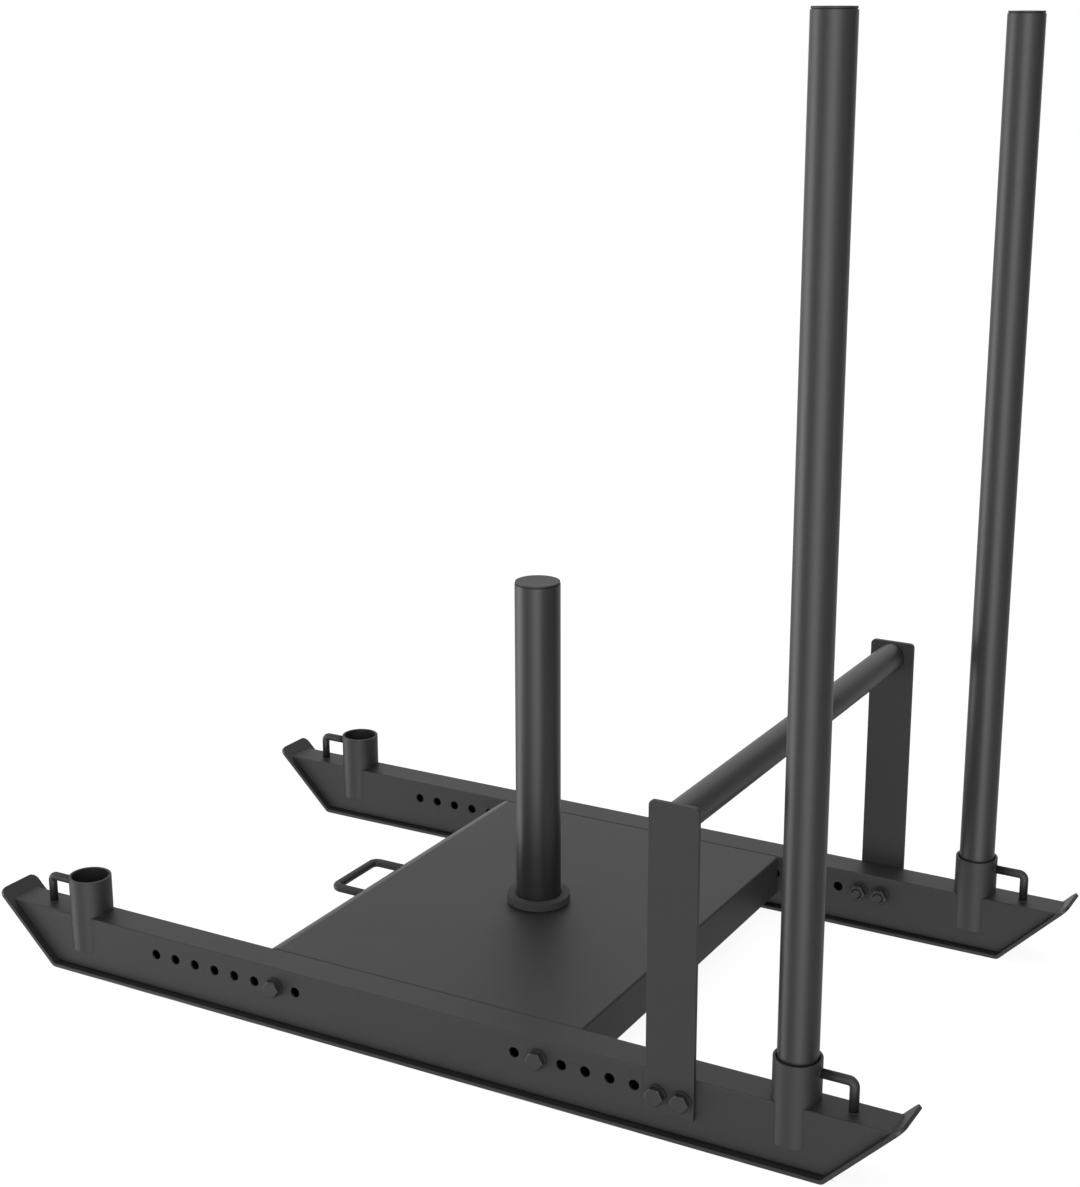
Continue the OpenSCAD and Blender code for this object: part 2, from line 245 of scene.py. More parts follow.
class Geometry(Nodes):
    """A Geometry Nodes tree with named inputs. It ends in Realize Instances and Set Material."""

    def __init__(self, name):
        super().__init__(bpy.data.node_groups.new(name, "GeometryNodeTree"))
        self.entry = self.tree.nodes.new("NodeGroupInput")
        self.tree.interface.new_socket(
            "Geometry", in_out="OUTPUT", socket_type="NodeSocketGeometry")
        self.host = self.input("Geometry", "Geometry")

    def input(self, name, kind):
        """A named input of the tree."""
        self.tree.interface.new_socket(name, in_out="INPUT", socket_type=f"NodeSocket{kind}")
        return Value(self, self.entry.outputs[name])

    def end(self, shape):
        """Closes the tree with plain geometry in the material of its last input."""
        finish = self.input("Finish", "Material")
        smooth = self.add("GeometryNodeSetShadeSmooth", None, {"Geometry": shape})
        plain = self.add("GeometryNodeRealizeInstances", None, {"Geometry": smooth})
        painted = self.add("GeometryNodeSetMaterial", None, {"Geometry": plain, "Material": finish})
        self.add("NodeGroupOutput", None, {"Geometry": painted})

    def make(self, name, host_mesh, values):
        """Runs the tree on a host mesh and returns its result as an object with a plain mesh."""
        host = bpy.data.objects.new(name, host_mesh)
        bpy.context.scene.collection.objects.link(host)
        modifier = host.modifiers.new("Build", "NODES")
        modifier.node_group = self.tree
        for item in self.tree.interface.items_tree:
            if item.in_out == "INPUT" and item.name in values:
                modifier[item.identifier] = values[item.name]
        return bake(host)


# Meshes

def bake(thing):
    """Gives an object the plain mesh that its modifiers make, and removes them."""
    depsgraph = bpy.context.evaluated_depsgraph_get()
    shape = thing.evaluated_get(depsgraph)
    mesh = bpy.data.meshes.new_from_object(shape, depsgraph=depsgraph)
    if not mesh.polygons:
        raise RuntimeError(f"{thing.name} came out empty")
    old = thing.data
    thing.modifiers.clear()
    thing.data = mesh
    mesh.name = thing.name
    if not old.users:
        bpy.data.meshes.remove(old)
    return thing


def plain_mesh(name, points, faces=(), edges=()):
    """A mesh from lists of points, faces and edges."""
    mesh = bpy.data.meshes.new(name)
    mesh.from_pydata(points, edges, faces)
    mesh.validate()
    return mesh


def merged(node):
    """A copy of a CAD node's mesh with its doubled points merged."""
    shape = bmesh.new()
    shape.from_mesh(frame["nodes"][node].data)
    bmesh.ops.remove_doubles(shape, verts=shape.verts, dist=2e-6)
    return shape


def turned(name, rings, steps, closed=False):
    """A mesh turned round Z. A ring is (radius, height), or a function of the angle that gives
    them. A closed one runs from its last ring back to its first, and an open one gets two ends."""
    points = []
    for ring in rings:
        for step in range(steps):
            angle = 2 * pi * step / steps
            radius, height = ring(angle) if callable(ring) else ring
            points.append((radius * cos(angle), radius * sin(angle), height))
    faces = []
    for row in range(len(rings) if closed else len(rings) - 1):
        low = row * steps
        high = (row + 1) % len(rings) * steps
        for step in range(steps):
            after = (step + 1) % steps
            faces.append((low + step, low + after, high + after, high + step))
    if not closed:
        top = (len(rings) - 1) * steps
        faces.append(tuple(reversed(range(steps))))
        faces.append(tuple(range(top, top + steps)))
    return plain_mesh(name, points, faces)


def tube_rings(outer, wall, low, high):
    """The four rings of a tube with square ends."""
    inner = outer - wall
    return [(outer, low), (outer, high), (inner, high), (inner, low)]


def circle_path(centre, across, up, radius, steps, start=0.0, end=2 * pi):
    """Points of a circle or an arc of it. across and up are the two unit axes of its plane."""
    whole = abs(end - start - 2 * pi) < 1e-6
    count = steps if whole else steps + 1
    centre, across, up = Vector(centre), Vector(across), Vector(up)
    points = []
    for step in range(count):
        angle = start + (end - start) * step / steps
        points.append(centre + radius * (cos(angle) * across + sin(angle) * up))
    return points, whole


def path_mesh(name, paths):
    """A mesh of edges only, from (points, closed) pairs."""
    points, edges = [], []
    for path, closed in paths:
        first = len(points)
        points.extend(tuple(point) for point in path)
        edges.extend((first + i, first + i + 1) for i in range(len(path) - 1))
        if closed:
            edges.append((len(points) - 1, first))
    return plain_mesh(name, points, edges=edges)


def softened(thing, rounding, steps=3):
    """Rounds an object's sharp edges and evens out its shading."""
    if rounding:
        bevel = thing.modifiers.new("Rounding", "BEVEL")
        bevel.width = rounding
        bevel.segments = steps
        bevel.limit_method = "ANGLE"
        bevel.angle_limit = radians(30)
        bevel.use_clamp_overlap = False
    normals = thing.modifiers.new("Normals", "WEIGHTED_NORMAL")
    normals.weight = 100
    for face in thing.data.polygons:
        face.use_smooth = True
    return bake(thing)


def piece(name, mesh, rounding, finish, node):
    """A finished piece that stands for a CAD node and rides on the node's body."""
    thing = bpy.data.objects.new(name, mesh)
    bpy.context.scene.collection.objects.link(thing)
    softened(thing, rounding)
    fitted(thing, finish, node)


def fitted(thing, finish, node, stands_for=True):
    """Paints a piece, ties it to its CAD body, and hides the CAD node if the piece stands for it.
    """
    thing.data.materials.clear()
    thing.data.materials.append(finish)
    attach(thing, frame["nodes"][node]["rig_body"])
    if stands_for:
        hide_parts(node)


def slot_of(node):
    """The material slot that the record gives a node."""
    for part in frame["record"]["subparts"]:
        if part["node"] == node:
            return part["material_slot"]
    raise RuntimeError(f"the record has no part {node}")


def middle_of(node):
    """Middle and half size of a CAD node's box."""
    low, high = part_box(node)
    return (low + high) / 2, (high - low) / 2


def upright_tube(node, outer, wall, rounding, context, deeper=0.0):
    """Turns the upright tube of a CAD node, or one that goes deeper."""
    middle, half = middle_of(node)
    rings = tube_rings(outer, wall, middle.z - half.z - deeper, middle.z + half.z)
    mesh = turned(node, rings, context.scene.sled_sizes.tube_steps, closed=True)
    mesh.transform(Matrix.Translation((middle.x, middle.y, 0)))
    piece(f"{node}_tube", mesh, rounding, finish_of(context, node), node)


def solid_boxes(node):
    """The box of each separate solid of a CAD node, as (lowest, highest) corners."""
    shape = merged(node)
    left = set(shape.verts)
    boxes = []
    while left:
        start = left.pop()
        group, front = [start], [start]
        while front:
            vert = front.pop()
            for edge in vert.link_edges:
                other = edge.other_vert(vert)
                if other in left:
                    left.remove(other)
                    group.append(other)
                    front.append(other)
        places = [vert.co for vert in group]
        low = Vector(min(p[i] for p in places) for i in range(3))
        high = Vector(max(p[i] for p in places) for i in range(3))
        boxes.append((low, high))
    shape.free()
    return sorted(boxes, key=lambda box: tuple(round(x, 4) for x in box[0]))


def tightened(shape, edges, radius, tall):
    """Gives round outer edges another section. An edge runs square to Z and to an axis: it is
    (axis, place, outwards, height, upwards, wide), where its two faces would meet in a sharp
    corner. The new section is wide along the axis and tall along Z."""
    for vert in shape.verts:
        old = vert.co.copy()
        for axis, place, outwards, height, upwards, wide in edges:
            across = (old[axis] - place) / radius + outwards
            rise = (old.z - height) / radius + upwards
            beyond = across * outwards > -0.001 and rise * upwards > -0.001
            if beyond and abs(hypot(across, rise) - 1) < 0.004:
                vert.co[axis] = place + (across - outwards) * wide
                vert.co.z = height + (rise - upwards) * tall


def from_cad(name, node, rounding, finish, reshape=None):
    """A piece that is its CAD node's own shape with merged points and rounded edges."""
    shape = merged(node)
    if reshape:
        reshape(shape)
    bmesh.ops.dissolve_limit(shape, angle_limit=radians(0.5), verts=shape.verts, edges=shape.edges)
    mesh = bpy.data.meshes.new(name)
    shape.to_mesh(mesh)
    shape.free()
    piece(name, mesh, rounding, finish, node)


# Finishes

def shaded(colour, factor):
    """A colour made darker or lighter, with the alpha that a colour socket takes."""
    return (*(channel * factor for channel in colour), 1.0)


def finished(name, surface):
    """The material of this name. When it is first asked for, surface gives its inputs."""
    material = bpy.data.materials.get(name)
    if not material:
        material = bpy.data.materials.new(name)
        shader = Shader(material)
        place = shader.add("ShaderNodeTexCoord", output="Object")
        painted = shader.add("ShaderNodeBsdfPrincipled", None, surface(shader, place))
        shader.add("ShaderNodeOutputMaterial", None, {"Surface": painted})
    return material


def coat_grain(shader, place, look, peel=1.0):
    """A coat's clouds and grain, how uneven they make its roughness, and its normal."""
    cloud = shader.noise(place, per_metre=11, detail=3.0)
    waves = shader.noise(place, 1 / look.peel_size, detail=2.0, distortion=0.4)
    grain = shader.noise(place, 1 / look.grain_size, detail=2.0)
    uneven = 0.07 * (cloud - 0.5) + 0.10 * (grain - 0.5)
    height = waves * peel + grain * (look.grain_depth / look.peel_depth)
    return cloud, grain, uneven, shader.bump(height, look.peel_depth)


def steel_coat(name, colour, roughness, look, peel=1.0, nose=None):
    """Baked powder coat: a fine grain on a soft orange peel, slightly uneven in tone and gloss.
    It is rubbed smooth on what stands before the nose's place along X."""
    def surface(shader, place):
        cloud, grain, uneven, normal = coat_grain(shader, place, look, peel)
        mottle = shader.noise(place, per_metre=160, detail=2.0)
        tone = 0.6 * shader.spread(cloud, 0.3, 0.7) + 0.4 * shader.spread(mottle, 0.3, 0.7)
        base = shader.shades(tone, colour, 0.14)
        speckle = shader.spread(grain, 0.62, 0.78) * 0.35
        rough = roughness + uneven
        if nose is not None:
            along = shader.add("ShaderNodeSeparateXYZ", None, {"Vector": place}, "X")
            smooth = shader.spread(along, nose, nose - NOSE_EDGE)
            rough = rough + (look.nose_roughness - roughness) * smooth
        return {
            "Base Color": shader.mix(speckle, base, shaded(colour, 1.9)),
            "Roughness": rough, "Normal": normal, "Specular IOR Level": look.coat_gloss,
        }

    return finished(name, surface)


def skid_coat(look):
    """The same coat on a skid: lengthwise rub marks through to the steel under its sole."""
    def surface(shader, place):
        cloud, _, uneven, normal = coat_grain(shader, place, look)
        drawn_out = shader.add("ShaderNodeMapping", None, {"Vector": place, "Scale": (0.03, 1, 1)})
        streaks = shader.noise(drawn_out, per_metre=700, detail=3.0)
        patches = shader.noise(place, per_metre=9, detail=2.0)
        height = shader.add("ShaderNodeSeparateXYZ", None, {"Vector": place}, "Z")
        sole = shader.spread(height, *SOLE_EDGE)
        rubbed = sole * shader.spread(streaks * 0.7 + patches * 0.5, 0.60, 0.72) * 0.8
        base = shader.shades(cloud, look.coat_colour, 0.14)
        return {
            "Base Color": shader.mix(rubbed, base, (*look.steel_colour, 1)),
            "Metallic": rubbed, "Roughness": look.skid_roughness + uneven - 0.12 * rubbed,
            "Normal": normal, "Specular IOR Level": look.coat_gloss,
        }

    return finished("skid coat", surface)


def moulded_plastic(look):
    """Matte black plastic with the fine spark grain of its mould."""
    def surface(shader, place):
        pits = shader.noise(place, per_metre=2200, detail=2.0)
        flow = shader.noise(place, per_metre=60, detail=2.0)
        return {
            "Base Color": shader.shades(flow, look.plastic_colour, 0.12),
            "Roughness": look.plastic_roughness + 0.12 * (pits - 0.5),
            "Normal": shader.bump(pits, PIT_DEPTH), "Specular IOR Level": 0.5,
        }

    return finished("moulded plastic", surface)


def blackened_steel(look):
    """Black zinc on a forged head: fine pits and a slightly patchy satin."""
    def surface(shader, place):
        pits = shader.noise(place, per_metre=1300, detail=3.0)
        patches = shader.noise(place, per_metre=170, detail=3.0)
        return {
            "Base Color": shader.shades(patches, look.fastener_colour, 0.2),
            "Roughness": look.fastener_roughness + 0.16 * (patches - 0.5),
            "Normal": shader.bump(pits, PIT_DEPTH), "Specular IOR Level": 0.5,
        }

    return finished("blackened steel", surface)


def powder_coat(look):
    """The coat of most of the sled."""
    return steel_coat("powder coat", look.coat_colour, look.coat_roughness, look)


def pole_coat(look):
    """The smoother coat of the round tubes."""
    return steel_coat("pole coat", look.pole_colour, look.pole_roughness, look, peel=0.6)


# By the names of the record's slots
FINISHES = {
    "powder_coat": powder_coat,
    "pole_coat": pole_coat,
    "skid_coat": skid_coat,
    "black_plastic": moulded_plastic,
    "black_fasteners": blackened_steel,
}


def finish_of(context, node):
    """The finish of a CAD node."""
    return FINISHES[slot_of(node)](context.scene.sled_look)


# Settings

def colour_setting(name, description, default):
    """A colour that a user can change."""
    return FloatVectorProperty(
        name=name, description=description, default=default, subtype="COLOR", size=3, min=0,
        max=1)


def share_setting(name, description, default, low=0.0):
    """A share up to 1 that a user can change."""
    return FloatProperty(
        name=name, description=description, default=default, subtype="FACTOR", min=low, max=1)


def level_setting(name, description, default):
    """A level of light, where 1 is white, that a user can change."""
    return FloatProperty(name=name, description=description, default=default, min=0, max=10)


def length_setting(name, description, default, low, high):
    """A length that a user can change, in millimetres here and in metres in the scene."""
    return FloatProperty(
        name=name, description=description, default=default * MM, unit="LENGTH", min=low * MM,
        max=high * MM, precision=5)


class SledLook(bpy.types.PropertyGroup):
    """Colours, gloss and grain of the sled's finishes."""

    coat_colour: colour_setting("Coat", "Colour of the powder coat", (0.0115, 0.0115, 0.0116))
    pole_colour: colour_setting(
        "Pole coat", "Colour of the coat on the round tubes", (0.0105, 0.0105, 0.0107))
    foot_colour: colour_setting(
        "Foot coat", "Colour of the coat on the post's foot", (0.026, 0.026, 0.0262))
    plastic_colour: colour_setting("Plastic", "Colour of the end caps", (0.012, 0.012, 0.0121))
    fastener_colour: colour_setting(
        "Fasteners", "Colour of bolts, nuts and washers", (0.0115, 0.0115, 0.0118))
    steel_colour: colour_setting(
        "Bare steel", "Colour of the steel where the sole is rubbed", (0.36, 0.355, 0.35))
    coat_roughness: share_setting(
        "Coat roughness", "Mean roughness of the powder coat", 0.52, 0.2)
    skid_roughness: share_setting(
        "Skid roughness", "Mean roughness of the coat on the skids", 0.42, 0.2)
    pole_roughness: share_setting(
        "Pole roughness", "Mean roughness of the coat on the round tubes", 0.37, 0.2)
    nose_roughness: share_setting(
        "Nose roughness", "Roughness of the coat where the deck's front edge is rubbed", 0.2, 0.1)
    foot_roughness: share_setting(
        "Foot roughness", "Mean roughness of the coat on the post's foot", 0.75, 0.2)
    plastic_roughness: share_setting(
        "Plastic roughness", "Mean roughness of the end caps", 0.5, 0.2)
    fastener_roughness: share_setting(
        "Fastener roughness", "Mean roughness of the fasteners", 0.5, 0.2)
    coat_gloss: share_setting(
        "Coat gloss", "Strength of the coat's reflection, 0.5 for common paint", 0.5)
    peel_size: length_setting(
        "Peel size", "Width of one wave of the coat's orange peel", 3.2, 0.5, 20)
    peel_depth: length_setting("Peel depth", "Height of the orange peel", 0.05, 0, 1)
    grain_size: length_setting("Grain size", "Width of one grain of the coat", 0.8, 0.2, 5)
    grain_depth: length_setting("Grain depth", "Height of the coat's grain", 0.02, 0, 1)


class SledSizes(bpy.types.PropertyGroup):
    """Sizes that the frame's boxes don't give."""

    tube_steps: IntProperty(
        name="Tube steps", description="Number of faces round a tube", default=96, min=24, max=256)
    rounding: length_setting("Edge rounding", "Radius of the coated steel's edges", 0.5, 0.1, 1.5)
    beam_corner: length_setting(
        "Beam corner", "Outer radius of a box beam's long edges", 1.8, 0.5, 4.5)
    deck_bend: length_setting("Deck bend", "Outer radius of the deck's folds", 2.6, 1, 6)
    deck_nose: length_setting(
        "Deck nose", "Width of the flattened round along the deck's front edge", 10, 2, 16)
    socket_wall: length_setting("Socket wall", "Wall of a socket tube", 2.8, 1, 4)
    pole_wall: length_setting("Pole wall", "Wall of a push pole", 2, 1, 4)
    post_wall: length_setting("Post wall", "Wall of the weight post", 3, 1, 5)
    handle_wall: length_setting("Handle wall", "Wall of the cross handle", 2, 1, 4)
    foot_rim: length_setting(
        "Foot rim", "How far the post's foot stands out over its undercut", 1.8, 0, 3)
    foot_groove: length_setting(
        "Foot groove", "Width of the grooves under the post's foot and round the post", 1.1, 0.2, 3)
    loop_rod: length_setting("Strap loop rod", "Diameter of a strap loop's rod", 9.4, 4, 14)
    loop_bend: length_setting("Strap loop bend", "Bend radius of a strap loop", 6, 4, 12)
    tow_rod: length_setting("Tow loop rod", "Diameter of the tow loop's rod", 9.8, 4, 14)
    tow_bend: length_setting("Tow loop bend", "Bend radius of the tow loop", 8, 4, 16)
    cap_plug: length_setting("Cap plug", "Length of an end cap inside its tube", 18, 6, 30)
    cap_groove: length_setting(
        "Cap groove", "Depth of the groove between an end cap's face and its tube", 0.6, 0.1, 1.2)
    cap_dish: length_setting("Cap dish", "Depth of the dish in an end cap's face", 0.35, 0, 1.2)
    bolt: length_setting("Bolt", "Diameter of the bolts", 10, 5, 14)
    head: length_setting("Bolt head", "Height of a bolt head", 6.4, 4, 9)
    pitch: length_setting(
        "Thread pitch", "Distance from one turn of the thread to the next", 1.5, 0.8, 2)
    weld: length_setting("Weld", "Radius of a weld bead", 0.65, 0.5, 4)
    weld_step: length_setting(
        "Weld ripple", "Distance between two ripples of a weld bead", 1.5, 1, 6)


class SledStage(bpy.types.PropertyGroup):
    """Light levels of the studio."""

    room: level_setting("Room", "Level of the even light from all round", 0.72)
    ceiling: level_setting("Ceiling", "How much lighter the room is overhead", 0.47)
    left_light: level_setting(
        "Left light", "Level of the soft light beyond the sled's front end", 4.0)
    near_light: level_setting("Near light", "Level of the soft light beside the camera", 3.7)
    dark_side: level_setting("Dark side", "How much darker the room is on the right", 1.25)
    mirrored: share_setting(
        "Mirrored background", "Share of the white background in a reflection", 0.08)
    floor: share_setting(
        "Floor", "Share of the floor's own white as against its lit paint", 0.8)


# Operators

class BuildStep(bpy.types.Operator):
    """A step that builds a group of like pieces."""

    bl_options = {"REGISTER", "UNDO"}

    def execute(self, context):
        self.build(context, context.scene.sled_sizes)
        return {"FINISHED"}


class SLED_OT_stage(bpy.types.Operator):
    """Set up the floor, the lights, the world and the camera"""

    bl_idname = "sled.stage"
    bl_label = "Studio"
    bl_options = {"REGISTER", "UNDO"}

    def execute(self, context):
        stage = context.scene.sled_stage
        self.camera(context)
        self.world(context, stage)
        self.floor(stage)
        context.scene.view_settings.view_transform = "Standard"
        return {"FINISHED"}

    def camera(self, context):
        """The photograph's own camera."""
        width, height = IMAGE_SIZE
        lens = bpy.data.cameras.new("Camera")
        lens.sensor_width = SENSOR
        lens.lens = SENSOR * CAMERA_FOCUS / height
        lens.shift_x = (width / 2 - CAMERA_MIDDLE[0]) / height
        lens.shift_y = (CAMERA_MIDDLE[1] - height / 2) / height
        lens.clip_end = 60
        camera = bpy.data.objects.new("Camera", lens)
        camera.location = CAMERA_PLACE
        camera.rotation_euler = (radians(90 - CAMERA_TILT), 0, radians(CAMERA_TURN))
        context.scene.collection.objects.link(camera)
        context.scene.camera = camera

    def world(self, context, stage):
        """White where it is seen. As light, a soft room with two large lights and a dark side."""
        world = bpy.data.worlds.new("Room")
        context.scene.world = world
        shader = Shader(world)
        direction = shader.add("ShaderNodeTexCoord", output="Generated")
        height = shader.add("ShaderNodeSeparateXYZ", None, {"Vector": direction}, "Z")
        light = stage.room + stage.ceiling * height
        levels = {"left": stage.left_light, "near": stage.near_light, "dark": -stage.dark_side}
        for name, level in levels.items():
            light = light + level * self.glow(shader, direction, *GLOWS[name])
        light = shader.add("ShaderNodeMath", {"operation": "MAXIMUM"}, {0: light, 1: DARKEST})
        level = light + (1.0 - light) * shader.seen(1.0, stage.mirrored)
        sky = shader.add("ShaderNodeBackground", None, {"Color": (1, 1, 1, 1), "Strength": level})
        shader.add("ShaderNodeOutputWorld", None, {"Surface": sky})

    def glow(self, shader, direction, azimuth, elevation, tightness):
        """A round glow in one direction: 1 in its middle, and less the further from it."""
        flat = cos(radians(elevation))
        middle = (flat * cos(radians(azimuth)), flat * sin(radians(azimuth)),
                  sin(radians(elevation)))
        near = shader.add("ShaderNodeVectorMath", {"operation": "DOT_PRODUCT"}, {
            0: direction, 1: middle,
        }, "Value")
        return shader.add("ShaderNodeMath", {"operation": "EXPONENT"}, {
            0: tightness * (near - 1.0),
        })

    def floor(self, stage):
        """A pale floor that stays white where it is seen and keeps the sled's shadow."""
        material = bpy.data.materials.new("floor")
        shader = Shader(material)
        paint = shader.add("ShaderNodeBsdfDiffuse", None, {"Color": FLOOR_PAINT})
        white = shader.add("ShaderNodeEmission", None, {
            "Color": (1, 1, 1, 1), "Strength": FLOOR_WHITE,
        })
        share = shader.seen(stage.floor, stage.floor)
        surface = shader.add("ShaderNodeMixShader", None, {0: share, 1: paint, 2: white})
        shader.add("ShaderNodeOutputMaterial", None, {"Surface": surface})
        corners = [(FLOOR_REACH * x, FLOOR_REACH * y, 0)
                   for x, y in ((-1, -1), (1, -1), (1, 1), (-1, 1))]
        floor = bpy.data.objects.new("floor", plain_mesh("floor", corners, [(0, 1, 2, 3)]))
        floor.data.materials.append(material)
        floor.visible_glossy = False
        floor.visible_shadow = False
        bpy.context.scene.collection.objects.link(floor)


class SLED_OT_runners(BuildStep):
    """Build the box beams and the bent skid plates under them"""

    bl_idname = "sled.runners"
    bl_label = "Runners"

    def build(self, context, sizes):
        for side in SIDES:
            def crisp(shape, side=side):
                self.crisp_beam(shape, side, sizes)

            beam, skid = f"{side}_beam", f"{side}_skid"
            from_cad(f"{beam}_coated", beam, sizes.rounding, finish_of(context, beam), crisp)
            from_cad(f"{skid}_coated", skid, sizes.rounding * 0.6, finish_of(context, skid))

    def crisp_beam(self, shape, side, sizes):
        """Tightens a beam's four long edges. Its ends stay mitred at 45 degrees and its bores
        stay round."""
        beam, half = middle_of(f"{side}_beam")
        reach = max(abs(vert.co.x) - vert.co.z for vert in shape.verts)
        ends = [v for v in shape.verts if abs(abs(v.co.x) - v.co.z - reach) < NEAR]
        bored = []
        for end in ENDS:
            socket, tube = middle_of(f"{side}_{end}_socket")
            for vert in shape.verts:
                away = hypot(vert.co.x - socket.x, vert.co.y - socket.y)
                if abs(away - tube.x) < NEAR:
                    bored.append((vert, socket))
        edges = [(1, beam.y + y * half.y, y, beam.z + z * half.z, z, sizes.beam_corner)
                 for y in (-1, 1) for z in (-1, 1)]
        tightened(shape, edges, CAD_BEAM_CORNER, sizes.beam_corner)
        for vert in ends:
            vert.co.x = copysign(reach + vert.co.z, vert.co.x)
        radius = CAD_SOCKET_BORE + sizes.socket_wall
        for vert, socket in bored:
            out = sqrt(radius ** 2 - (vert.co.y - socket.y) ** 2)
            vert.co.x = socket.x + copysign(out, vert.co.x - socket.x)


class SLED_OT_sockets(BuildStep):
    """Turn the four socket tubes that are let into the beams"""

    bl_idname = "sled.sockets"
    bl_label = "Pole sockets"

    def build(self, context, sizes):
        outer = CAD_SOCKET_BORE + sizes.socket_wall
        for corner in CORNERS:
            upright_tube(f"{corner}_socket", outer, sizes.socket_wall, sizes.rounding, context)


def bent_rod_tree():
    """Follows a path of straight runs with a round rod, bent at every corner."""
    tree = Geometry("Bent rod")
    diameter = tree.input("Rod Diameter", "Float")
    bend = tree.input("Bend Radius", "Float")
    steps = tree.input("Bend Steps", "Int")
    faces = tree.input("Rod Faces", "Int")
    line = tree.add("GeometryNodeMeshToCurve", None, {"Mesh": tree.host})
    bent = tree.add("GeometryNodeFilletCurve", {"mode": "POLY"}, {
        "Curve": line, "Count": steps, "Radius": bend,
    })
    section = tree.add("GeometryNodeCurvePrimitiveCircle", {"mode": "RADIUS"}, {
        0: faces, 4: diameter / 2,
    })
    rod = tree.add("GeometryNodeCurveToMesh", None, {
        "Curve": bent, "Profile Curve": section, "Fill Caps": True,
    })
    tree.end(rod)
    return tree


def bent_rod(tree, node, path, bend, context):
    """Bends the rod of a CAD node along a path."""
    finish = finish_of(context, node)
    thing = tree.make(f"{node}_bent", path_mesh(node, [(path, False)]), {
        **bend, "Rod Faces": 36, "Finish": finish,
    })
    softened(thing, 0)
    fitted(thing, finish, node)


def weld_tree():
    """Lays a rippled round bead along a path."""
    tree = Geometry("Weld bead")
    radius = tree.input("Bead Radius", "Float")
    ripple = tree.input("Ripple", "Float")
    seed = tree.input("Seed", "Int")
    line = tree.add("GeometryNodeMeshToCurve", None, {"Mesh": tree.host})
    even = tree.add("GeometryNodeResampleCurve", {"mode": "LENGTH"}, {
        "Curve": line, "Length": ripple / 4,
    })
    along = tree.add("GeometryNodeSplineParameter", output="Length")
    wave = tree.add("ShaderNodeMath", {"operation": "SINE"}, {0: along * (2 * pi) / ripple})
    uneven = tree.add("FunctionNodeRandomValue", {"data_type": "FLOAT"}, {
        "Min": -0.06, "Max": 0.06, "Seed": seed,
    }, output=1)
    section = tree.add("GeometryNodeCurvePrimitiveCircle", {"mode": "RADIUS"}, {
        0: 12, 4: radius,
    })
    bead = tree.add("GeometryNodeCurveToMesh", None, {
        "Curve": even, "Profile Curve": section, "Scale": 1.0 + 0.07 * wave + uneven,
        "Fill Caps": True,
    })
    tree.end(bead)
    return tree


def fastener_tree():
    """Sets one fastener on every point, turned as the point's turn attribute says."""
    tree = Geometry("Fasteners")
    fastener = tree.input("Fastener", "Object")
    shape = tree.add("GeometryNodeObjectInfo", None, {"Object": fastener}, "Geometry")
    turn = tree.add("GeometryNodeInputNamedAttribute", {"data_type": "FLOAT_VECTOR"}, {
        "Name": "turn",
    })
    copies = tree.add("GeometryNodeInstanceOnPoints", None, {
        "Points": tree.host, "Instance": shape, "Rotation": turn,
    })
    tree.end(copies)
    return tree


class SLED_OT_strap_loops(BuildStep):
    """Bend the four strap loops between the sockets and the beams"""

    bl_idname = "sled.strap_loops"
    bl_label = "Strap loops"

    def build(self, context, sizes):
        tree = bent_rod_tree()
        for corner in CORNERS:
            node = f"{corner}_loop"
            middle, half = middle_of(node)
            socket, bore = middle_of(f"{corner}_socket")
            end = 1 if middle.x > 0 else -1
            outer = middle.x + end * (half.x - half.y + LOOP_REACH)
            level = middle.z + half.z - sizes.loop_rod / 2
            inner = socket.x + end * (bore.x - SUNK)
            foot = middle.z - half.z - SUNK
            path = [(inner, middle.y, level), (outer, middle.y, level), (outer, middle.y, foot)]
            bend = {"Rod Diameter": sizes.loop_rod, "Bend Radius": sizes.loop_bend,
                    "Bend Steps": 12}
            bent_rod(tree, node, path, bend, context)


class SLED_OT_deck(BuildStep):
    """Fold the deck"""

    bl_idname = "sled.deck"
    bl_label = "Deck"

    def build(self, context, sizes):
        look = context.scene.sled_look
        deck, half = middle_of("deck_plate")
        front, top, bend = deck.x - half.x, deck.z + half.z, sizes.deck_bend
        moved = front - DECK_REACH
        nose = moved + sizes.deck_nose
        finish = steel_coat("deck coat", look.coat_colour, look.coat_roughness, look, nose=nose)
        edges = [(1, deck.y + side * half.y, side, top, 1, bend) for side in SIDES.values()]
        edges = [(0, moved, -1, top, 1, sizes.deck_nose),
                 (0, deck.x + half.x, 1, top, 1, bend), *edges]

        def reshape(shape):
            for vert in shape.verts:
                if vert.co.x < front + CAD_DECK_BEND + NEAR / 2:
                    vert.co.x -= DECK_REACH
            tightened(shape, edges, CAD_DECK_BEND, bend)

        from_cad("deck_plate_coated", "deck_plate", sizes.rounding * 0.9, finish, reshape)


class SLED_OT_tow_loop(BuildStep):
    """Bend the tow loop at the front of the deck"""

    bl_idname = "sled.tow_loop"
    bl_label = "Tow loop"

    def build(self, context, sizes):
        middle, half = middle_of("tow_loop")
        root = middle.x + half.x + SUNK
        bar = middle.x - half.x + half.z - TOW_REACH
        wide = half.y - half.z
        path = [(root, wide, middle.z), (bar, wide, middle.z), (bar, -wide, middle.z),
                (root, -wide, middle.z)]
        bend = {"Rod Diameter": sizes.tow_rod, "Bend Radius": sizes.tow_bend, "Bend Steps": 14}
        bent_rod(bent_rod_tree(), "tow_loop", path, bend, context)


